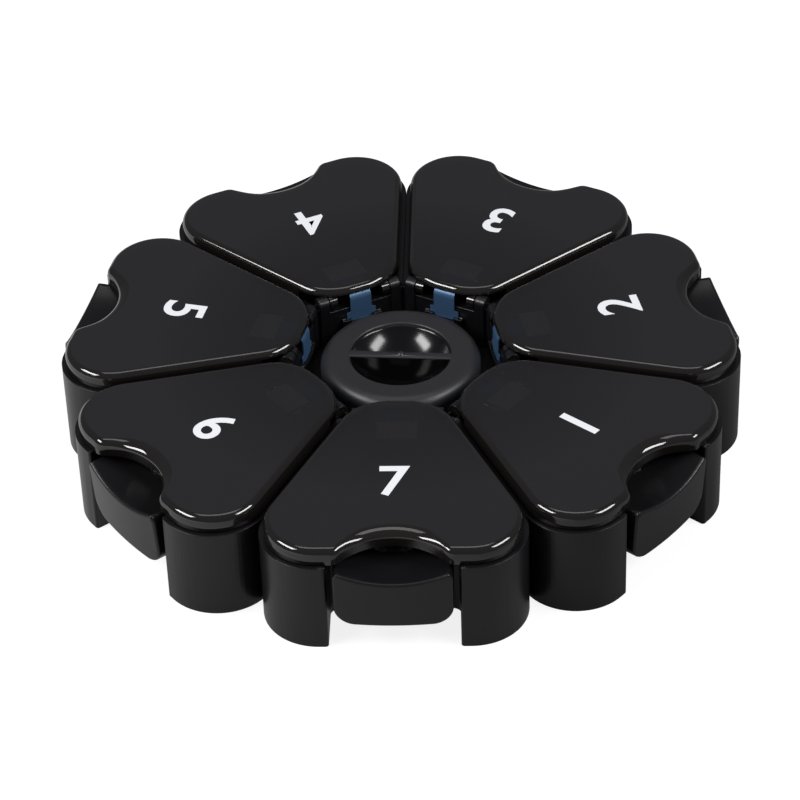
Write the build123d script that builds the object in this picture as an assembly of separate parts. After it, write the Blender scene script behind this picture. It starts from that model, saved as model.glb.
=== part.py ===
"""Weekly pill organizer: petal cups round a hub, each with a spring-up lid and a push button.

Millimetres, +Z up. The origin is the middle of the underside, and petal 0 points along -Y.
Each petal is drawn in its own frame, X across it and Y outwards from the hub, and then turned
into place.
"""
from build123d import *
from math import cos, radians, tan
import os

# The ring of petals
petal_count = 7
cup_height = 21.7          # table to the top of the cup walls
outer_reach = 74.9         # hub axis to the straight outer wall
outer_corner_radius = 12.5 # where the alcove leaves room for it
wall = 1.6
hub_wall = 2.0
floor = 1.8
floor_round = 2.0          # scooped edge of the cup floor
corner_margin = 0.4        # an upright corner is rounder than the edge that meets it by this
cut = 1.0                  # cutters run past the faces that they open by this

# The lids
lid_height = 4.0
lid_gap = 0.2              # under the lid's rim
lid_inset = 1.1            # lid side inside the cup side
lid_outer_inset = 1.0      # lid front inside the cup front
lid_plate = 1.6
lid_skirt = 1.5
lid_edge_round = 1.8
lid_end_flat = 2.0         # half of the straight piece left between the hub end's corners
notch_half_width = 11.6
notch_depth = 6.1
notch_shoulder = 3.0       # rounding of the points beside the notch

# The hinge
hinge_reach = 24.0         # hub axis to the hinge axis
hinge_drop = 2.0           # hinge axis under the lid's plate
hub_wall_setback = 1.4     # hub side of the cup, measured from the hinge axis
lid_end_setback = 1.8      # hub end of the lid, measured from the hinge axis
skirt_free_length = 5.0    # skirt left out beyond the hinge axis
pin_radius = 1.0
pin_clearance = 0.05
lug_radius = 1.7
lug_width = 1.8
ear_gap = 0.3
ear_width = 2.4
ear_side_gap = 0.6         # to the petal's side
ear_drop = 10.6            # foot of the ear under the hinge axis

# The leaf spring that throws the lid open
leaf_thickness = 0.3
leaf_width = 5.2
leaf_gap = 0.1             # under the lid's plate
leaf_drop = 5.7            # foot of the spring under the hinge axis
leaf_ear_width = 7.2
leaf_ear_height = 2.6
leaf_plate_width = 9.0
leaf_plate_length = 5.9
leaf_neck = 4.6            # hinge axis to the plate
rail_gap = 0.25
rail_width = 1.0
rail_lip = 0.8
holder_wall = 1.1
holder_lip = 0.6
holder_grip = 1.0          # depth of the foot inside its holder

# The push buttons and the alcoves that hold them
button_width = 25.4
button_height = 14.6
button_proud = 2.4         # front beyond the cup's front
button_draft = 1.0         # foot of the front behind its lip
button_side_gap = 1.4      # to the alcove's sides
button_travel = 2.0
button_clearance = 0.4     # left to the alcove's back when pressed
button_foot_round = 4.5
button_shoulder_round = 2.0
button_edge_round = 0.6
button_skin = 2.0
button_top_gap = 0.2       # shoulders under the cup's top
dish_radius = 30.0
dish_setback = 5.4         # lowest point of the dish behind the cup's front
dish_depth = 3.3           # below the button's shoulders
alcove_depth = 12.1
alcove_corner = 2.0
cheek_round = 0.7
stem_radius = 1.6
stem_clearance = 0.08
stem_head_radius = 2.3
stem_head_length = 2.6
stem_head_gap = 0.2
hook_width = 8.4
hook_thickness = 1.4
hook_clearance = 0.25
hook_rise = 1.4            # above the cup's top
catch_width = 8.0
catch_depth = 0.8
catch_height = 1.0

# The return spring behind each button
coil_radius = 2.8
coil_wire = 0.9
coil_end_gap = 0.2

# The hub
hub_drop = 0.4             # under the cup's top
hub_edge_round = 3.0
hub_skin = 2.0
hub_ring = 6.8             # width of the ring round the well
well_depth = 11.6
well_rim_round = 0.5
moat_width = 4.3           # hub to the cups
moat_depth = 11.0          # under the cup's top
moat_plate = 1.8
bar_width = 2.4
bar_drop = 0.2
bar_turn = -3.5            # degrees, from the X axis
nub_radius = 0.7
nub_height = 0.35

# Sizes that follow
half_angle = 180.0 / petal_count
side_slope = tan(radians(half_angle))


def half_width(y, inset):
    """From the petal's middle to its side, at a distance y from the hub's axis."""
    return y * side_slope - inset / cos(radians(half_angle))


corner_slope = tan(radians((90.0 - half_angle) / 2))
cup_corner_radius = floor_round + corner_margin
hub_wall_reach = hinge_reach - hub_wall_setback

lid_rim = cup_height + lid_gap
lid_top = lid_rim + lid_height
plate_under = lid_top - lid_plate
lid_inner_reach = hinge_reach - lid_end_setback
lid_outer_reach = outer_reach - lid_outer_inset
skirt_start = hinge_reach + skirt_free_length
notch_radius = (notch_half_width**2 + notch_depth**2) / (2 * notch_depth)
notch_centre = lid_outer_reach - notch_depth + notch_radius

hinge_height = plate_under - hinge_drop
ear_outer = (hinge_reach - lug_radius) * side_slope - ear_side_gap
ear_inner = ear_outer - ear_width
lug_outer = ear_inner - ear_gap
lug_inner = lug_outer - lug_width

leaf_foot = hinge_height - leaf_drop
leaf_plate_start = hinge_reach + leaf_neck
leaf_plate_end = leaf_plate_start + leaf_plate_length

alcove_back = outer_reach - alcove_depth
alcove_half_width = button_width / 2 + button_side_gap
corner_room = half_width(outer_reach - wall, wall) - alcove_half_width - wall
corner_radius = min(outer_corner_radius, corner_room * corner_slope + wall)
button_top = cup_height - button_top_gap
button_base = button_top - button_height
button_back = alcove_back + button_travel + button_clearance
button_front = outer_reach + button_proud
dish_middle = outer_reach - dish_setback
dish_floor = button_top - dish_depth
cavity_foot = button_base + button_skin
cavity_roof = dish_floor - button_skin
cavity_front = button_front - button_draft - button_skin
stem_height = (cavity_foot + cavity_roof) / 2
hook_foot = dish_floor - hook_clearance - hook_thickness
catch_front = lid_outer_reach - notch_depth - lid_skirt
catch_back = catch_front - catch_depth

hub_height = cup_height - hub_drop
hub_radius = hub_wall_reach - moat_width
well_radius = hub_radius - hub_ring
well_floor = hub_height - well_depth
moat_floor = cup_height - moat_depth


def block(x0, x1, y0, y1, z0, z1):
    """A box between two corners."""
    return Pos((x0 + x1) / 2, (y0 + y1) / 2, (z0 + z1) / 2) * Box(x1 - x0, y1 - y0, z1 - z0)


def both_sides(solid):
    """A solid and its mirror image across the petal's middle."""
    return solid + mirror(solid, about=Plane.YZ)


def rod_across(radius, x0, x1, y, z):
    """A round rod along X."""
    return Pos((x0 + x1) / 2, y, z) * Rot(0, 90, 0) * Cylinder(radius, x1 - x0)


def rod_outwards(radius, y0, y1, z):
    """A round rod along Y, in the petal's middle."""
    return Pos(0, (y0 + y1) / 2, z) * Rot(90, 0, 0) * Cylinder(radius, y1 - y0)


def petal_face(inset, inner, outer, inner_radius, outer_radius):
    """The petal's outline: two sides that run to the hub's axis, and rounded corners."""
    near = half_width(inner, inset)
    far = half_width(outer, inset)
    face = make_face(Polyline((-near, inner), (near, inner), (far, outer), (-far, outer), close=True))
    face = fillet(face.vertices().group_by(Axis.Y)[-1], outer_radius)
    if inner_radius > 0:
        face = fillet(face.vertices().group_by(Axis.Y)[0], inner_radius)
    return face


def rounded_beside(face, half, y, radius):
    """An outline with the two points beside an opening of its outer edge rounded."""
    points = face.vertices().sort_by(lambda v: abs(abs(v.X) - half) + abs(v.Y - y))
    return fillet(points[:2], radius)


def alcove_face(margin):
    """The button's recess, larger by a margin: straight sides and rounded back corners."""
    half = alcove_half_width + margin
    back = alcove_back - margin
    front = outer_reach + cut
    face = make_face(Polyline((-half, back), (half, back), (half, front), (-half, front), close=True))
    return fillet(face.vertices().group_by(Axis.Y)[0], alcove_corner + margin)


def notched(face, margin, shoulder):
    """A lid's outline with the finger notch, set back by a margin, cut from its outer edge."""
    face = face - Pos(0, notch_centre) * Circle(notch_radius + margin)
    front = lid_outer_reach - margin
    half = ((notch_radius + margin) ** 2 - (notch_centre - front) ** 2) ** 0.5
    return rounded_beside(face, half, front, shoulder)


# Cup: a petal tray with the button's alcove in front and the hinge ears at the hub
def make_cup():
    outline = petal_face(0, hub_wall_reach, outer_reach, 0, corner_radius)
    outline = rounded_beside(outline - alcove_face(0), alcove_half_width, outer_reach, cheek_round)
    body = extrude(outline, cup_height)

    inside = petal_face(
        wall,
        hub_wall_reach + hub_wall,
        outer_reach - wall,
        cup_corner_radius,
        corner_radius - wall,
    )
    hollow = Pos(0, 0, floor) * extrude(inside - alcove_face(wall), cup_height)
    hollow = fillet(hollow.edges().group_by(Axis.Z)[0], floor_round)
    body -= hollow

    # the wall steps down between the ears, below the turning lugs
    step = hinge_height - lug_radius - ear_gap
    step_end = hub_wall_reach + hub_wall + cut
    body -= block(-ear_inner, ear_inner, hub_wall_reach - cut, step_end, step, cup_height + cut)

    # hinge ears on ribs
    ear_near = hinge_reach - lug_radius
    ear_far = hinge_reach + lug_radius
    ear = block(ear_inner, ear_outer, ear_near, ear_far, hinge_height - ear_drop, hinge_height)
    ear += rod_across(lug_radius, ear_inner, ear_outer, hinge_reach, hinge_height)
    bore_radius = pin_radius + pin_clearance
    bore = rod_across(bore_radius, ear_inner - cut, ear_outer + cut, hinge_reach, hinge_height)
    body += both_sides(ear)
    body -= both_sides(bore)

    # holder for the leaf spring's foot
    leaf_back = hinge_reach - hinge_drop + leaf_gap
    slot_half = leaf_ear_width / 2 + leaf_gap
    window_half = leaf_width / 2 + leaf_gap
    holder_half = slot_half + holder_wall
    lip_face = leaf_back - leaf_gap - holder_lip
    seat = leaf_foot - leaf_gap
    holder_top = seat + holder_grip
    holder = block(-holder_half, holder_half, lip_face, hub_wall_reach, seat - holder_wall, holder_top)
    holder -= block(-slot_half, slot_half, leaf_back - leaf_gap, hub_wall_reach, seat, cup_height)
    holder -= block(-window_half, window_half, lip_face - cut, leaf_back, seat, cup_height)
    body += holder

    # hole for the button's stem and slot for its hook
    stem_hole = stem_radius + stem_clearance
    body -= rod_outwards(stem_hole, alcove_back - wall - cut, alcove_back + cut, stem_height)
    slot = hook_width / 2 + hook_clearance
    slot_foot = hook_foot - hook_clearance
    body -= block(-slot, slot, alcove_back - wall - cut, alcove_back + cut, slot_foot, cup_height + cut)
    return body


# Lid: a shallow shell with a finger notch, two hinge lugs with pins, and the leaf spring's rails
def make_lid():
    end_radius = (half_width(lid_inner_reach, lid_inset) - lid_end_flat) / corner_slope
    outer_radius = corner_radius - lid_inset
    outline = petal_face(lid_inset, lid_inner_reach, lid_outer_reach, end_radius, outer_radius)
    shell = Pos(0, 0, lid_rim) * extrude(notched(outline, 0, notch_shoulder), lid_height)
    shell = fillet(shell.edges().group_by(Axis.Z)[-1], lid_edge_round)

    inside = petal_face(
        lid_inset + lid_skirt,
        lid_inner_reach + lid_skirt,
        lid_outer_reach - lid_skirt,
        end_radius - lid_skirt,
        outer_radius - lid_skirt,
    )
    inside = notched(inside, lid_skirt, notch_shoulder - lid_skirt)
    shell -= Pos(0, 0, lid_rim - cut) * extrude(inside, lid_height - lid_plate + cut)

    # no skirt round the hinge
    shell -= block(-hinge_reach, hinge_reach, 0, skirt_start, lid_rim - cut, plate_under)

    # round lugs with pins
    lug = rod_across(lug_radius, lug_inner, lug_outer, hinge_reach, hinge_height)
    lug += block(
        lug_inner,
        lug_outer,
        hinge_reach,
        hinge_reach + lug_radius,
        hinge_height,
        plate_under + lid_plate / 4,
    )
    lug += rod_across(pin_radius, lug_inner, ear_outer, hinge_reach, hinge_height)
    shell += both_sides(lug)

    # rails that hold the leaf spring's plate
    rail_inner = leaf_plate_width / 2 + rail_gap
    leaf_under = plate_under - leaf_gap - leaf_thickness
    rail_foot = leaf_under - rail_gap - rail_lip
    rail_outer = rail_inner + rail_width
    rail = block(rail_inner, rail_outer, leaf_plate_start, leaf_plate_end, rail_foot, plate_under)
    rail += block(
        rail_inner - rail_lip,
        rail_outer,
        leaf_plate_start,
        leaf_plate_end,
        rail_foot,
        leaf_under - rail_gap,
    )
    shell += both_sides(rail)

    # catch behind the notch
    shell += block(
        -catch_width / 2,
        catch_width / 2,
        catch_back,
        catch_front + lid_skirt / 2,
        lid_rim,
        lid_rim + catch_height,
    )
    return shell


# Leaf spring: a steel strip from the cup's holder, round the hinge axis, to the lid's rails
def make_leaf():
    outer_bend = hinge_drop - leaf_gap
    inner_bend = outer_bend - leaf_thickness
    back = hinge_reach - outer_bend
    front = back + leaf_thickness
    over = hinge_height + outer_bend
    under = over - leaf_thickness
    half = leaf_width / 2
    leaf = block(-half, half, back, front, leaf_foot, hinge_height)
    bend = rod_across(outer_bend, -half, half, hinge_reach, hinge_height)
    bend -= rod_across(inner_bend, -half - cut, half + cut, hinge_reach, hinge_height)
    leaf += bend & block(-half, half, back, hinge_reach, hinge_height, over)
    leaf += block(-half, half, hinge_reach, leaf_plate_end, under, over)
    ear = leaf_ear_width / 2
    leaf += block(-ear, ear, back, front, leaf_foot, leaf_foot + leaf_ear_height)
    plate = leaf_plate_width / 2
    leaf += block(-plate, plate, leaf_plate_start, leaf_plate_end, under, over)
    return leaf


# Button: a dished thumb piece, hollow at the back, with a snap-in stem and a latch hook
def make_button():
    half = button_width / 2
    body = block(-half, half, button_back, button_front, button_base, button_top)
    body = fillet(body.edges().filter_by(Axis.Z).group_by(Axis.Y)[0], alcove_corner)
    along = body.edges().filter_by(Axis.Y)
    body = fillet(along.group_by(Axis.Z)[0], button_foot_round)
    body = fillet(body.edges().filter_by(Axis.Y).group_by(Axis.Z)[-1], button_shoulder_round)

    # the front follows a cone about the hub's axis
    middle_height = (button_base + button_top) / 2
    body &= Pos(0, 0, middle_height) * Cone(button_front - button_draft, button_front, button_height)
    body -= Pos(0, dish_middle, dish_floor + dish_radius) * Sphere(dish_radius)
    body = fillet(body.faces().sort_by(Axis.Y)[-1].edges(), button_edge_round)

    inner_half = half - button_skin - button_skin
    body -= block(-inner_half, inner_half, 0, cavity_front, cavity_foot, cavity_roof)

    # stem through the alcove wall, with its snap head inside the cup
    head_end = alcove_back - wall - stem_head_gap
    stem_root = cavity_front + button_skin / 2
    body += rod_outwards(stem_radius, head_end - stem_head_length, stem_root, stem_height)
    head = Pos(0, head_end - stem_head_length / 2, stem_height) * Rot(90, 0, 0)
    body += head * Cone(stem_head_radius, stem_radius, stem_head_length)

    # hook that reaches up behind the lid's catch
    hook_half = hook_width / 2
    hook_front = catch_back - hook_clearance
    hook_back = hook_front - hook_thickness
    hook_root = button_back + button_skin
    body += block(-hook_half, hook_half, hook_back, hook_root, hook_foot, hook_foot + hook_thickness)
    nose = block(-hook_half, hook_half, hook_back, hook_front, hook_foot, cup_height + hook_rise)
    nose_edge = nose.edges().filter_by(Axis.X).group_by(Axis.Z)[-1].sort_by(Axis.Y)[-1]
    body += chamfer(nose_edge, hook_thickness / 2)
    return body


# Return spring: the close-wound coil round the stem, drawn as the sleeve that it fills
def make_coil():
    start = alcove_back + coil_end_gap
    end = cavity_front - coil_end_gap
    sleeve = rod_outwards(coil_radius, start, end, stem_height)
    return sleeve - rod_outwards(coil_radius - coil_wire, start - cut, end + cut, stem_height)


# Hub: a round boss with a finger well, its grip bar and the plate that joins the cups
def make_hub():
    sides = RegularPolygon(hub_wall_reach, petal_count, major_radius=False, rotation=half_angle - 90)
    plate = Pos(0, 0, moat_floor - moat_plate) * extrude(sides, moat_plate)
    boss = Pos(0, 0, hub_height / 2) * Cylinder(hub_radius, hub_height)
    boss = fillet(boss.edges().group_by(Axis.Z)[-1], hub_edge_round)
    under_depth = well_floor - hub_skin
    under = Pos(0, 0, under_depth / 2) * Cylinder(hub_radius - hub_skin, under_depth)
    well = Pos(0, 0, well_floor + well_depth / 2) * Cylinder(well_radius, well_depth)
    hub = plate + boss - under - well
    rim = hub.edges().filter_by(GeomType.CIRCLE).group_by(Axis.Z)[-1]
    hub = fillet(rim.sort_by(lambda e: e.radius)[0], well_rim_round)
    bar_top = hub_height - bar_drop
    bar_end = well_radius + cut
    bar = block(-bar_end, bar_end, -bar_width / 2, bar_width / 2, well_floor, bar_top)
    bar = fillet(bar.edges().filter_by(Axis.X).group_by(Axis.Z)[-1], bar_width / 4)
    bar &= Pos(0, 0, hub_height / 2) * Cylinder(well_radius + hub_skin / 4, hub_height)
    bar += Pos(0, 0, bar_top) * Cylinder(nub_radius, 2 * nub_height)
    return hub + Rot(0, 0, bar_turn) * bar


os.makedirs("parts", exist_ok=True)
petal = {
    "cup": make_cup(),
    "lid": make_lid(),
    "leaf_spring": make_leaf(),
    "button": make_button(),
    "button_spring": make_coil(),
}
for index in range(petal_count):
    turn = Rot(0, 0, 2 * half_angle * index - 180)
    for name, solid in petal.items():
        export_step(turn * solid, f"parts/{name}_{index + 1}.step")
export_step(make_hub(), "parts/hub.step")
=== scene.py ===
import bpy
import numpy as np
from mathutils import Matrix, Vector


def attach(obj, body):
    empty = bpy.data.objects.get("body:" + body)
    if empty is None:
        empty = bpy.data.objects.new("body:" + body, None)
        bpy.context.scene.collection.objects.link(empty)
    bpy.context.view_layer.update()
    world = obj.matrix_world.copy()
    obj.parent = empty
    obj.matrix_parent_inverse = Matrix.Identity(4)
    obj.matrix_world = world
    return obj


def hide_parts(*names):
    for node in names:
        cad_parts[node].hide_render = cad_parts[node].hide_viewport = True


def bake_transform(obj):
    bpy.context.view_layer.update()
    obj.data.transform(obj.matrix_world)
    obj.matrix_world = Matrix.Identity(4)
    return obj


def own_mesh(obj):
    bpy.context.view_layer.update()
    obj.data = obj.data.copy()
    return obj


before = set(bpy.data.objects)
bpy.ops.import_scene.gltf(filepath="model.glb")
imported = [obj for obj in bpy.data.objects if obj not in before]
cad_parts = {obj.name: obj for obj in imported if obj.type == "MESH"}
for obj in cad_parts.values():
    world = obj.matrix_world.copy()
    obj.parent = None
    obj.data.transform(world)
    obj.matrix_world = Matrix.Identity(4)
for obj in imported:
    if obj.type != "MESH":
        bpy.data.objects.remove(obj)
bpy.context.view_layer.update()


# Tray
# One black moulding in a fine spark-eroded satin: seven petal cups round a hub with a finger well.
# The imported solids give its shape, and each edge has the small radius that a mould leaves.
tray_black = (0.0060, 0.0059, 0.0070, 1.0)
tray_edge_radius = 0.00028
tray_grain_scale, grain_detail, grain_depth = 5200, 1.0, 0.00004
sharpest_smooth_edge = np.radians(28)
petals = range(1, 8)


class Socket:
    """A shader socket: arithmetic on it adds Math nodes, and add() puts in any other node."""

    def __init__(self, tree, output=None):
        self.tree = tree
        self.output = output

    def add(self, kind, settings, inputs, output=0):
        """A node of this kind: its settings come first, then its sockets' values or links."""
        node = self.tree.nodes.new(kind)
        for name, value in settings.items():
            if name == "stops":
                for stop, (place, colour) in zip(node.color_ramp.elements, value):
                    stop.position, stop.color = place, colour
            else:
                setattr(node, name, value)
        for name, value in inputs.items():
            if isinstance(value, Socket):
                self.tree.links.new(value.output, node.inputs[name])
            else:
                node.inputs[name].default_value = value
        return Socket(self.tree, node.outputs[output])

    def _math(self, operation, first, second):
        return self.add("ShaderNodeMath", {"operation": operation}, {0: first, 1: second})

    def __add__(self, other):
        return self._math("ADD", self, other)

    __radd__ = __add__

    def __mul__(self, other):
        return self._math("MULTIPLY", self, other)

    __rmul__ = __mul__

    def __sub__(self, other):
        return self._math("SUBTRACT", self, other)

    def __rsub__(self, other):
        return self._math("SUBTRACT", other, self)

    def __lt__(self, other):
        return self._math("LESS_THAN", self, other)

    def __gt__(self, other):
        return self._math("GREATER_THAN", self, other)


class Finish:
    """A material with one Principled shader: constant values are set on it, and sockets feed it."""

    def __init__(self, name, **constants):
        self.material = bpy.data.materials.new(name)
        self.material.use_nodes = True
        self.start = Socket(self.material.node_tree)
        self.shader = self.material.node_tree.nodes["Principled BSDF"]
        for socket, value in constants.items():
            self.shader.inputs[socket.replace("_", " ")].default_value = value

    def feed(self, socket, value):
        self.material.node_tree.links.new(value.output, self.shader.inputs[socket])

    def place(self):
        return self.start.add("ShaderNodeTexCoord", {}, {}, "Object")

    def along(self, axis):
        return self.start.add("ShaderNodeSeparateXYZ", {}, {"Vector": self.place()}, axis)

    def noise(self, scale, detail=2.0):
        inputs = {"Vector": self.place(), "Scale": scale, "Detail": detail}
        return self.start.add("ShaderNodeTexNoise", {"noise_dimensions": "3D"}, inputs)

    def grain(self, height, strength, depth, edge_radius):
        """A bump of this height field over normals that round each edge."""
        edge = self.start.add("ShaderNodeBevel", {"samples": 6}, {"Radius": edge_radius})
        inputs = {"Height": height, "Strength": strength, "Distance": depth, "Normal": edge}
        self.feed("Normal", self.start.add("ShaderNodeBump", {}, inputs))


tray_finish = Finish("tray satin black", Base_Color=tray_black, Specular_IOR_Level=0.40)
tray_finish.feed("Roughness", 0.26 + 0.08 * tray_finish.noise(60))
tray_grain = tray_finish.noise(tray_grain_scale, grain_detail)
tray_finish.grain(tray_grain, 0.10, grain_depth, tray_edge_radius)


def smooth_copy(node, body, finish):
    """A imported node's mesh, merged and shaded smooth up to its real edges, in that node's place."""
    copy = bpy.data.objects.new(node + "_moulded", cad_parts[node].data.copy())
    bpy.context.scene.collection.objects.link(copy)
    copy.data.materials.clear()
    copy.data.materials.append(finish.material)
    weld = copy.modifiers.new("merge", "WELD")
    weld.merge_threshold = 1e-6
    welded = copy.evaluated_get(bpy.context.evaluated_depsgraph_get())
    merged = bpy.data.meshes.new_from_object(welded)
    copy.modifiers.clear()
    copy.data = merged
    merged.shade_smooth()
    merged.set_sharp_from_angle(angle=sharpest_smooth_edge)
    flats = copy.modifiers.new("flat faces stay flat", "WEIGHTED_NORMAL")
    flats.keep_sharp = True
    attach(copy, body)
    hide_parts(node)


well_reach, well_top = 0.0116, 0.0208
# The hub's black is lighter than the tray's, as painted light on its top, and the well's black is
# darker, as painted shade in the recess.
hub_painted_light_black, well_painted_shade_black = (0.0180, 0.0175, 0.0200, 1.0), (0.0025, 0.0024, 0.0028, 1.0)
hub_finish = Finish("hub satin black, gloss well", Specular_IOR_Level=0.45)
hub_x, hub_y, hub_z = (hub_finish.along(axis) for axis in "XYZ")
in_well = (hub_x * hub_x + hub_y * hub_y < well_reach**2) * (hub_z < well_top)
hub_finish.feed("Roughness", 0.36 + 0.10 * hub_finish.noise(60) - 0.24 * in_well)
painted_light_ramp = {"stops": [(0.0, hub_painted_light_black), (1.0, well_painted_shade_black)]}
hub_finish.feed("Base Color", hub_finish.start.add("ShaderNodeValToRGB", painted_light_ramp, {"Fac": in_well}))
hub_grain = hub_finish.noise(tray_grain_scale, grain_detail)
hub_finish.grain(hub_grain, 0.06, grain_depth, tray_edge_radius)
smooth_copy("hub", "tray", hub_finish)
for k in petals:
    smooth_copy(f"cup_{k}", "tray", tray_finish)


# Well
# The finger well's glossy bowl, moulded with the hub under the grip bar. It is drawn as a thin
# shell that lies inside the well's straight wall.
millimetre = 0.001
petal_turn = 360 / 7
bowl_rim_radius, bowl_rim_z, bowl_floor_z, bowl_shell_thickness = 11.42, 20.85, 14.3, 0.12
bowl_rows, bowl_columns, bowl_pole_slope = 28, 96, 0.002
bowl_sharp_angle = 40


def skin(grid):
    """Quads between the neighbours of a grid of points, whose last column meets its first."""
    rows, columns = grid.shape[:2]
    index = np.arange(rows * columns).reshape(rows, columns)
    index = np.hstack([index, index[:, :1]])
    corners = [index[:-1, :-1], index[:-1, 1:], index[1:, 1:], index[1:, :-1]]
    return grid.reshape(-1, 3), np.stack(corners, -1).reshape(-1, 4).tolist()


def petal_matrix(k):
    """The turn from a petal's own frame, X across and Y outwards, to its place in the ring."""
    return Matrix.Rotation(np.radians(petal_turn * (k - 1) - 180), 4, "Z")


def piece(name, shell, finish, k, sharp=30):
    """A mesh in millimetres in petal k's own frame, put in its place and shaded smooth."""
    points, faces = shell
    mesh = bpy.data.meshes.new(name)
    mesh.from_pydata((points * millimetre).tolist(), [], faces)
    mesh.validate()
    mesh.transform(petal_matrix(k))
    mesh.shade_smooth()
    mesh.set_sharp_from_angle(angle=np.radians(sharp))
    mesh.materials.append(finish.material)
    made = bpy.data.objects.new(name, mesh)
    bpy.context.scene.collection.objects.link(made)
    return made


def bowl_shell():
    """A part of a sphere from its lowest point up to the rim, turned about the hub's axis, with a
    second one as far below it as the shell is thick."""
    depth = bowl_rim_z - bowl_floor_z
    sphere = (bowl_rim_radius**2 + depth**2) / (2 * depth)
    slope = np.linspace(bowl_pole_slope, np.arccos(1 - depth / sphere), bowl_rows)
    radius, height = sphere * np.sin(slope), bowl_floor_z + sphere * (1 - np.cos(slope))
    radius = np.concatenate([radius, radius[::-1]])[:, None]
    height = np.concatenate([height, height[::-1] - bowl_shell_thickness])[:, None]
    angle = np.linspace(0, 2 * np.pi, bowl_columns, endpoint=False)[None, :]
    grid = np.stack([radius * np.cos(angle), radius * np.sin(angle), height + 0 * angle], -1)
    points, faces = skin(grid)
    first, last = range(bowl_columns), range(len(points) - bowl_columns, len(points))
    return points, faces + [list(reversed(first)), list(last)]


bowl = piece("hub_bowl", bowl_shell(), hub_finish, 1, bowl_sharp_angle)
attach(bowl, "tray")


# Leaf springs
# A steel strip for each lid, with a bright plate: its foot stands in the cup's holder, and its plate
# lies under the lid. Its bend is coloured blue, a painted reflection of blue sky. It is bent round
# the hinge axis.
hinge_y, hinge_z = 24.0, 22.3
leaf_thickness = 0.3
leaf_bend = 1.9
leaf_foot_z = 16.6
leaf_plate_y = 34.5
leaf_half_width, leaf_ear_half_width, leaf_plate_half_width = 2.6, 3.6, 4.5
leaf_ear_z, leaf_rise_z = 19.2, (20.3, 21.3)
leaf_neck_y, leaf_shoulder_y, leaf_plate_middle_y = (25.0, 26.8), 28.6, 31.5
leaf_width_step, leaf_bend_steps, leaf_ear_rows, leaf_plate_rows = 0.3, 19, 2, 3

# The bend's blue is a painted reflection of blue sky on the bare steel.
bend_painted_sky_blue, plate_grey = (0.057, 0.125, 0.240, 1.0), (0.420, 0.400, 0.370, 1.0)
leaf_finish = Finish("spring steel with painted sky reflection", Base_Color=bend_painted_sky_blue, Metallic=0.35, Roughness=0.38)
plate_finish = Finish("bright spring steel", Base_Color=plate_grey, Metallic=0.35, Roughness=0.38)


def leaf_shell():
    """A path up from the foot, a quarter turn round the hinge axis and out under the lid; at each
    step of it a flat section as wide as the strip is there, whose corners turn with the path."""
    turn = np.linspace(np.pi, np.pi / 2, leaf_bend_steps)
    rise = [leaf_foot_z, leaf_ear_z - leaf_width_step, leaf_ear_z, *leaf_rise_z]
    out = [*leaf_neck_y, leaf_shoulder_y - leaf_width_step, leaf_shoulder_y]
    out += [leaf_plate_middle_y, leaf_plate_y]
    up, along = np.ones(len(rise)), np.ones(len(out))
    y = np.concatenate([up * (hinge_y - leaf_bend), hinge_y + leaf_bend * np.cos(turn), out])
    z = np.concatenate([rise, hinge_z + leaf_bend * np.sin(turn), along * (hinge_z + leaf_bend)])
    ny = np.concatenate([up, -np.cos(turn), 0 * along])
    nz = np.concatenate([0 * up, -np.sin(turn), -along])
    half = np.full(y.shape, leaf_half_width)
    half[:leaf_ear_rows] = leaf_ear_half_width
    half[-leaf_plate_rows:] = leaf_plate_half_width
    side = np.array([-1.0, 1.0, 1.0, -1.0])
    deep = np.array([0.0, 0.0, 1.0, 1.0]) * leaf_thickness
    y, z = y[:, None] + ny[:, None] * deep, z[:, None] + nz[:, None] * deep
    grid = np.stack([half[:, None] * side, y, z], -1)
    points, faces = skin(grid)
    last = len(points) - 4
    return points, faces + [[0, 1, 2, 3], [last + 3, last + 2, last + 1, last]]


for k in petals:
    leaf = piece(f"leaf_spring_{k}_strip", leaf_shell(), leaf_finish, k)
    leaf.data.materials.append(plate_finish.material)
    for face in leaf.data.polygons:
        face.material_index = int(face.center.xy.length > leaf_shoulder_y * millimetre)
    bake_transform(leaf)
    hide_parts(f"leaf_spring_{k}")


# Button springs
# A coil of steel wire round each button's stem, between the alcove's wall and the button's back.
# It is wound with closed ends.
coil_mean_radius, coil_wire_radius = 2.35, 0.42
coil_start_y, coil_end_y, coil_z = 63.05, 74.05, 12.55
coil_turns, coil_steps, wire_sides, coil_end_pull = 7, 24, 10, 0.10

wire_steel = (0.62, 0.63, 0.65, 1.0)
wire_finish = Finish("bright spring wire", Base_Color=wire_steel, Metallic=1.0, Roughness=0.25)


def coil_shell():
    """A circle of the wire's size carried round the stem's axis while it advances along it, slowly
    in the first and last turn and evenly between them."""
    t = np.linspace(0, 1, coil_turns * coil_steps + 1)[:, None]
    ring = np.linspace(0, 2 * np.pi, wire_sides, endpoint=False)[None, :]
    angle = 2 * np.pi * coil_turns * t
    advance = t - coil_end_pull * np.sin(2 * np.pi * t)
    radius = coil_mean_radius + coil_wire_radius * np.cos(ring)
    near, far = coil_start_y + coil_wire_radius, coil_end_y - coil_wire_radius
    y = near + (far - near) * advance + coil_wire_radius * np.sin(ring)
    grid = np.stack([radius * np.cos(angle), y, coil_z + radius * np.sin(angle)], -1)
    points, faces = skin(grid)
    first, last = range(wire_sides), range(len(points) - wire_sides, len(points))
    return points, faces + [list(first), list(reversed(last))]


for k in petals:
    coil = piece(f"button_spring_{k}_coil", coil_shell(), wire_finish, k)
    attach(coil, "tray")
    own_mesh(coil)
    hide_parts(f"button_spring_{k}")


# Buttons
# A dished thumb piece in satin black, snapped into the alcove by its stem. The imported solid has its
# form; the grain is a little coarser than the tray's.
button_black = (0.0055, 0.0054, 0.0062, 1.0)
button_edge_radius = 0.00032
button_grain_scale = 4200

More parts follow.
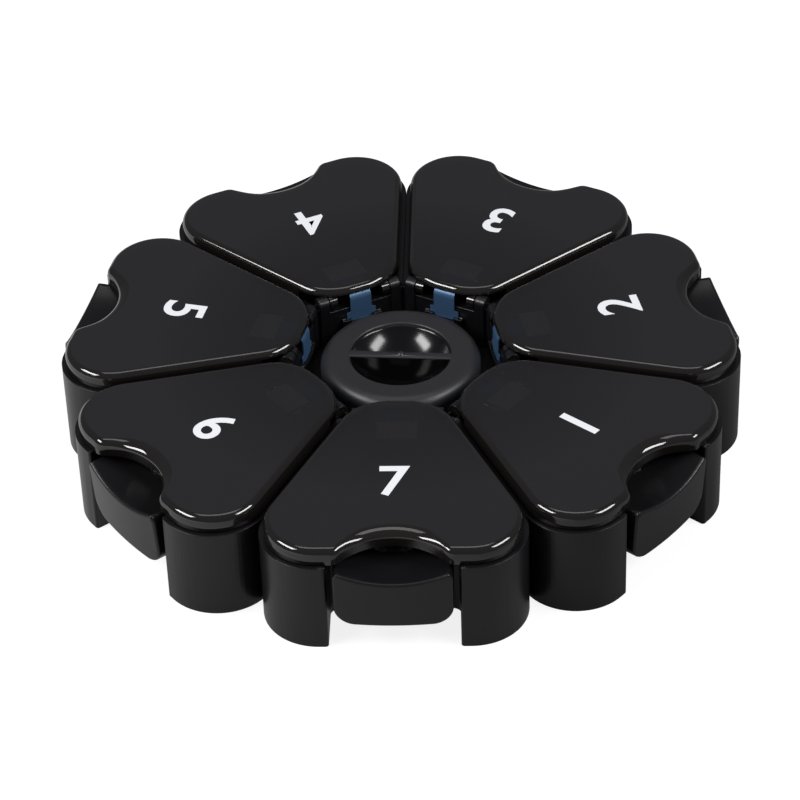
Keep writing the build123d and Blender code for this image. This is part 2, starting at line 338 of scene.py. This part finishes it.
button_finish = Finish("button satin black", Base_Color=button_black, Specular_IOR_Level=0.40)
button_finish.feed("Roughness", 0.26 + 0.08 * button_finish.noise(90))
button_grain = button_finish.noise(button_grain_scale, grain_detail)
button_finish.grain(button_grain, 0.14, grain_depth, button_edge_radius)

for k in petals:
    smooth_copy(f"button_{k}", f"button_{k}", button_finish)


# Lids
# A glossy smoke-tinted shell over each cup, moulded with its hinge lugs and pins, the rails of the
# leaf spring's plate, and the catch. Its top edge is rolled and its front has a finger notch.
lid_top, lid_rim, lid_plate, lid_roll, notch_roll = 25.88, 21.9, 1.6, 1.8, 3.2
lid_inset, lid_near_y, lid_far_y = 1.1, 22.2, 73.9
lid_near_radius, lid_far_radius = 11.88, 11.4
notch_y, notch_radius, notch_corner = 81.88, 14.08, 3.0
notch_roll_reach, notch_roll_fade, notch_tolerance = 10.5, 5.0, 0.01
skirt_start_y, skirt_step = 29.0, 0.01
skirt_inset = (1.7, 1.5, 1.5, 1.4, 1.2, 0.25, 0.07, 0.0)
skirt_lift = (0.3, 0.08, 0.0, 0.0, 0.07, 0.25)
lid_middle_y, top_ring_inset = 30.0, 0.2
side_slope = np.radians(petal_turn / 2)
lug_radius, lug_near_x, lug_far_x, lug_sink = 1.7, 5.64, 7.44, 0.3
pin_radius, pin_far_x = 1.0, 10.14
rail_foot_z, rail_lip_z, rail_sink = 22.85, 23.65, 0.2
rail_lip_x, rail_near_x, rail_far_x = 3.95, 4.75, 5.75
catch_near_y, catch_far_y, catch_half_width, catch_height = 65.5, 67.0, 4.0, 1.0
lid_sharp_angle = 35
near_turn_steps, far_turn_steps, roll_steps = 20, 40, 13
edge_steps, inner_side_steps, outer_side_steps = 6, 10, 14
notch_corner_steps, notch_steps, lug_steps, pin_sides = 10, 30, 25, 24


def together(*shells):
    """Several shells as one: their points in a row, and their faces counted on from one another."""
    starts = np.cumsum([0] + [len(points) for points, _ in shells])
    faces = [[i + int(s) for i in face] for s, (_, shell) in zip(starts, shells) for face in shell]
    return np.vstack([points for points, _ in shells]), faces


def run(start, end, count):
    """Evenly spaced points from start up to end, and the normal to the right of the way they go."""
    way = np.subtract(end, start) / np.hypot(*np.subtract(end, start))
    points = np.linspace(start, end, count, endpoint=False)
    return points, np.tile([way[1], -way[0]], (count, 1))


def arc(centre, radius, first, last, count, hollow=False):
    """Points on an arc from one angle up to another, with normals away from its centre, or towards
    it on a hollow one."""
    angle = np.linspace(first, last, count, endpoint=False)
    ray = np.stack([np.cos(angle), np.sin(angle)], -1)
    return np.asarray(centre) + radius * ray, -ray if hollow else ray


def lid_outline():
    """Half the lid's plan from the middle of its hub edge round to the middle of its notch, by runs
    and arcs that meet smoothly, and then its mirror image; points and outward normals."""
    sine, cosine = np.sin(side_slope), np.cos(side_slope)

    def corner(y, radius):
        return (y * sine - lid_inset - radius) / cosine, y

    def on_side(y):
        return y * sine / cosine - lid_inset / cosine, y

    near = corner(lid_near_y + lid_near_radius, lid_near_radius)
    far = corner(lid_far_y - lid_far_radius, lid_far_radius)
    side_normal = np.array([cosine, -sine])
    side_first = np.array(near) + lid_near_radius * side_normal
    side_last = np.array(far) + lid_far_radius * side_normal
    before_skirt = on_side(skirt_start_y - skirt_step)
    in_skirt = on_side(skirt_start_y + skirt_step)
    drop = notch_y - lid_far_y + notch_corner
    reach = np.sqrt((notch_radius + notch_corner) ** 2 - drop**2)
    turn = np.arctan2(-drop, reach)
    shoulder = reach, lid_far_y - notch_corner
    parts = [
        run((0, lid_near_y), (near[0], lid_near_y), edge_steps),
        arc(near, lid_near_radius, -np.pi / 2, -side_slope, near_turn_steps),
        run(side_first, before_skirt, inner_side_steps),
        run(before_skirt, in_skirt, 1),
        run(in_skirt, side_last, outer_side_steps),
        arc(far, lid_far_radius, -side_slope, np.pi / 2, far_turn_steps),
        run((far[0], lid_far_y), (reach, lid_far_y), edge_steps),
        arc(shoulder, notch_corner, np.pi / 2, turn + np.pi, notch_corner_steps),
        arc((0, notch_y), notch_radius, turn, -np.pi / 2, notch_steps, hollow=True),
    ]
    points = np.vstack([p for p, _ in parts] + [[[0, notch_y - notch_radius]]])
    normals = np.vstack([n for _, n in parts] + [[[0, 1]]])
    flip = np.array([-1, 1])
    points = np.vstack([points, points[-2:0:-1] * flip])
    return points, np.vstack([normals, normals[-2:0:-1] * flip])


def fan(loop, middle, upwards):
    """A flat face: triangles from one point to each side of a loop round it."""
    count = len(loop)
    i = np.arange(count)
    j = (i + 1) % count
    order = (i, j) if upwards else (j, i)
    return np.vstack([loop, middle]), np.stack([*order, np.full(count, count)], -1).tolist()


def lid_shell():
    """A section carried round the plan, each of its points set in from the edge along the normal:
    up the skirt's inside, round its foot, up the side and over the roll, which is an ellipse that
    widens at the notch. Near the hinge, where there is no skirt, nothing goes lower than the plate.
    Flat faces close the top and the underside."""
    plan, normal = lid_outline()
    under = lid_top - lid_plate
    bend = np.linspace(0, np.pi / 2, roll_steps)
    x, y = plan.T
    in_notch = np.hypot(x, y - notch_y) < notch_radius + notch_tolerance
    share = np.clip((notch_roll_reach - np.abs(x)) / notch_roll_fade, 0, 1) * in_notch
    roll = lid_roll + (notch_roll - lid_roll) * share**2 * (3 - 2 * share)
    foot = np.array(skirt_inset)[:, None] + 0 * roll
    inset = np.vstack([foot, (1 - np.cos(bend))[:, None] * roll, roll + top_ring_inset])
    skirt = lid_rim + np.array(skirt_lift)
    over = lid_top - lid_roll * (1 - np.sin(bend))
    height = np.concatenate([[under, under], skirt, over, [lid_top]])
    level = np.repeat(height[:, None], len(plan), axis=1)
    level = np.where(y < skirt_start_y, np.maximum(level, under), level)
    flat = plan[None] - inset[..., None] * normal[None]
    grid = np.concatenate([flat, level[..., None]], -1)
    points, faces = skin(grid[::-1])
    top = fan(grid[-1], [[0, lid_middle_y, lid_top]], True)
    underside = fan(grid[0], [[0, lid_middle_y, under]], False)
    return together((points, faces), top, underside)


def prism(profile, x0, x1):
    """A profile in Y and Z, anticlockwise as seen from +X, carried from x0 to x1 and closed."""
    profile = np.asarray(profile, float)
    count = len(profile)
    ends = [np.column_stack([np.full(count, x), profile]) for x in (x0, x1)]
    points, faces = skin(np.stack(ends))
    return points, faces + [list(range(count - 1, -1, -1)), list(range(count, 2 * count))]


def round_profile(y, z, radius, first, last, count):
    """Points of an arc in Y and Z."""
    angle = np.linspace(first, last, count)
    return np.column_stack([y + radius * np.cos(angle), z + radius * np.sin(angle)])


def upright(near_y, far_y, low_z, high_z):
    """A rectangle in Y and Z, anticlockwise as seen from +X."""
    return [(near_y, low_z), (far_y, low_z), (far_y, high_z), (near_y, high_z)]


def both_sides(profile, near_x, far_x):
    """A profile carried across on the right, and the same on the left."""
    return prism(profile, near_x, far_x), prism(profile, -far_x, -near_x)


def lid_fittings():
    """The lugs, pins, rails and catch, as profiles carried across."""
    under = lid_top - lid_plate
    cheek = round_profile(hinge_y, hinge_z, lug_radius, np.pi / 2, 2 * np.pi, lug_steps)
    top = [[hinge_y + lug_radius, under + lug_sink], [hinge_y, under + lug_sink]]
    last_side = 2 * np.pi * (pin_sides - 1) / pin_sides
    pin = round_profile(hinge_y, hinge_z, pin_radius, 0, last_side, pin_sides)
    wall = upright(leaf_shoulder_y, leaf_plate_y, rail_foot_z, under + rail_sink)
    lip = upright(leaf_shoulder_y, leaf_plate_y, rail_foot_z, rail_lip_z)
    catch = upright(catch_near_y, catch_far_y, lid_rim, lid_rim + catch_height)
    return together(
        *both_sides(np.vstack([cheek, top]), lug_near_x, lug_far_x),
        *both_sides(pin, lug_far_x, pin_far_x),
        *both_sides(wall, rail_near_x, rail_far_x),
        *both_sides(lip, rail_lip_x, rail_near_x),
        prism(catch, -catch_half_width, catch_half_width),
    )


lid_finish = Finish("lid smoke gloss", Roughness=0.06, IOR=1.5, Specular_IOR_Level=0.75)
# The sides and roll are coloured brown as painted light: the warm tint that light takes through the
# lid's thick edges.
smoke, edge_painted_glow_brown = (0.0125, 0.0121, 0.0140, 1.0), (0.0085, 0.0070, 0.0060, 1.0)
clear_top, clear_under_low, clear_under_high = 0.02584, 0.0242, 0.0244
edge_alpha, plate_alpha = 0.97, 0.68
clear_reach, clear_fade = 0.056, 470
lid_x, lid_y, lid_z = (lid_finish.along(axis) for axis in "XYZ")
thin = (lid_z > clear_top) + (lid_z > clear_under_low) * (lid_z < clear_under_high)
painted_light_ramp = {"stops": [(0.0, edge_painted_glow_brown), (1.0, smoke)]}
lid_finish.feed("Base Color", lid_finish.start.add("ShaderNodeValToRGB", painted_light_ramp, {"Fac": thin}))
fade = (clear_reach**2 - lid_x * lid_x - lid_y * lid_y) * clear_fade
near_the_hub = lid_finish.start.add("ShaderNodeClamp", {}, {"Value": fade})
lid_finish.feed("Alpha", edge_alpha - (edge_alpha - plate_alpha) * thin * near_the_hub)

for k in petals:
    shell = together(lid_shell(), lid_fittings())
    lid = piece(f"lid_{k}_shell", shell, lid_finish, k, lid_sharp_angle)
    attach(lid, f"lid_{k}")
    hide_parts(f"lid_{k}")


# Numbers
# A plain numeral printed in white on each lid, upright for someone who stands in front of it.
# The count starts at the petal on the right of the front one and ends at the front one.
number_height, number_y, number_weight = 10.0, 51.0, 0.022
capital_share, print_lift = 0.73, 0.012
print_finish = Finish("white pad print", Base_Color=(0.78, 0.79, 0.82, 1.0), Roughness=0.45)


def printed_number(k):
    """A numeral's outline filled flat, centred on the lid, its top towards the hub."""
    text = bpy.data.curves.new(f"number_{k}", "FONT")
    text.body = str((k - 2) % 7 + 1)
    text.size = number_height / capital_share
    text.offset = number_weight * number_height
    text.align_x, text.align_y = "CENTER", "CENTER"
    letter = bpy.data.objects.new(f"number_{k}_outline", text)
    bpy.context.scene.collection.objects.link(letter)
    filled = letter.evaluated_get(bpy.context.evaluated_depsgraph_get())
    mesh = bpy.data.meshes.new_from_object(filled)
    bpy.data.objects.remove(letter)
    points = np.empty((len(mesh.vertices), 3))
    mesh.vertices.foreach_get("co", points.reshape(-1))
    middle = (points.min(0) + points.max(0)) / 2
    points = (points - middle) * [-1, -1, 1] + [0, number_y, lid_top + print_lift]
    return points, [list(p.vertices) for p in mesh.polygons]


for k in petals:
    number = piece(f"number_{k}", printed_number(k), print_finish, k)
    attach(number, f"lid_{k}")


# Stage
# A pale floor that keeps the object's shadow and can't be seen from below, a soft box at each side
# and one above, a dim dome, and a camera at the photograph's angle.
floor_reach, floor_z = 4.0, -0.00005
floor_grey = (0.25, 0.25, 0.25, 1.0)
floor_glow, glow_at_the_middle, glow_slope = 0.85, 0.2, 3.2
floor_plan = ((-1, -1), (1, -1), (1, 1), (-1, 1))
floor_corners = [(x * floor_reach, y * floor_reach, floor_z) for x, y in floor_plan]
floor_mesh = bpy.data.meshes.new("floor")
floor_mesh.from_pydata(floor_corners, [], [(0, 1, 2, 3)])
floor = bpy.data.objects.new("floor", floor_mesh)
bpy.context.scene.collection.objects.link(floor)
floor_finish = Finish("pale floor", Base_Color=floor_grey, Roughness=0.9, Emission_Strength=1.0)
floor_finish.shader.inputs["Specular IOR Level"].default_value = 0.0
floor_node = floor_finish.start.add
camera_ray, glossy_ray, clear_ray = (
    floor_node("ShaderNodeLightPath", {}, {}, f"Is {kind} Ray")
    for kind in ("Camera", "Glossy", "Transmission")
)
# In reflections the floor glows more towards the left: a painted reflection of light on the left
# sides of the tray and buttons.
left_glow_ramp = glow_at_the_middle - glow_slope * floor_finish.along("X")
left_glow_share = floor_node("ShaderNodeClamp", {}, {"Value": left_glow_ramp})
seen = floor_glow * (camera_ray + clear_ray + glossy_ray * left_glow_share)
white = floor_node("ShaderNodeCombineColor", {}, {"Red": seen, "Green": seen, "Blue": seen})
floor_finish.feed("Emission Color", white)
from_below = floor_node("ShaderNodeNewGeometry", {}, {}, "Backfacing")
floor_finish.feed("Alpha", 1 - from_below)
floor_mesh.materials.append(floor_finish.material)

dome_colour, dome_strength = (0.9, 0.93, 1.0, 1.0), 0.16
world = bpy.data.worlds.new("dome")
bpy.context.scene.world = world
world.use_nodes = True
background = world.node_tree.nodes["Background"]
background.inputs["Color"].default_value = dome_colour
background.inputs["Strength"].default_value = dome_strength

lamp_aim = Vector((0, 0, 0.01))


def soft_box(name, place, width, height, power):
    """A rectangular lamp at a place, turned to face the object."""
    lamp = bpy.data.lights.new(name, "AREA")
    lamp.shape = "RECTANGLE"
    lamp.size, lamp.size_y, lamp.energy = width, height, power
    box = bpy.data.objects.new(name, lamp)
    box.location = place
    box.rotation_mode = "QUATERNION"
    box.rotation_quaternion = (lamp_aim - Vector(place)).to_track_quat("-Z", "Y")
    bpy.context.scene.collection.objects.link(box)


soft_box("left soft box", (-0.60, -0.24, 0.59), 0.50, 0.22, 5.6)
soft_box("right soft box", (0.60, -0.20, 0.59), 0.50, 0.22, 4.8)
soft_box("top soft box", (0.0, 0.10, 0.95), 0.60, 0.30, 1.0)

camera_distance, camera_target_z = 0.7309, 0.0259
camera_azimuth, camera_elevation, camera_roll = 2.571, 36.93, -2.067
camera = bpy.data.cameras.new("photograph")
camera.lens, camera.sensor_width = 145.43, 36.0
camera.shift_x, camera.shift_y = 0.0002, -0.0786
viewer = bpy.data.objects.new("photograph", camera)
bpy.context.scene.collection.objects.link(viewer)
azimuth, elevation = np.radians(camera_azimuth), np.radians(camera_elevation)
flat = np.cos(elevation)
away = Vector((np.sin(azimuth) * flat, -np.cos(azimuth) * flat, np.sin(elevation)))
viewer.location = Vector((0, 0, camera_target_z)) + away * camera_distance
viewer.rotation_mode = "QUATERNION"
level = (-away).to_track_quat("-Z", "Y")
roll = Matrix.Rotation(np.radians(camera_roll), 3, "Z").to_quaternion()
viewer.rotation_quaternion = level @ roll
bpy.context.scene.camera = viewer
bpy.context.scene.view_settings.view_transform = "Standard"
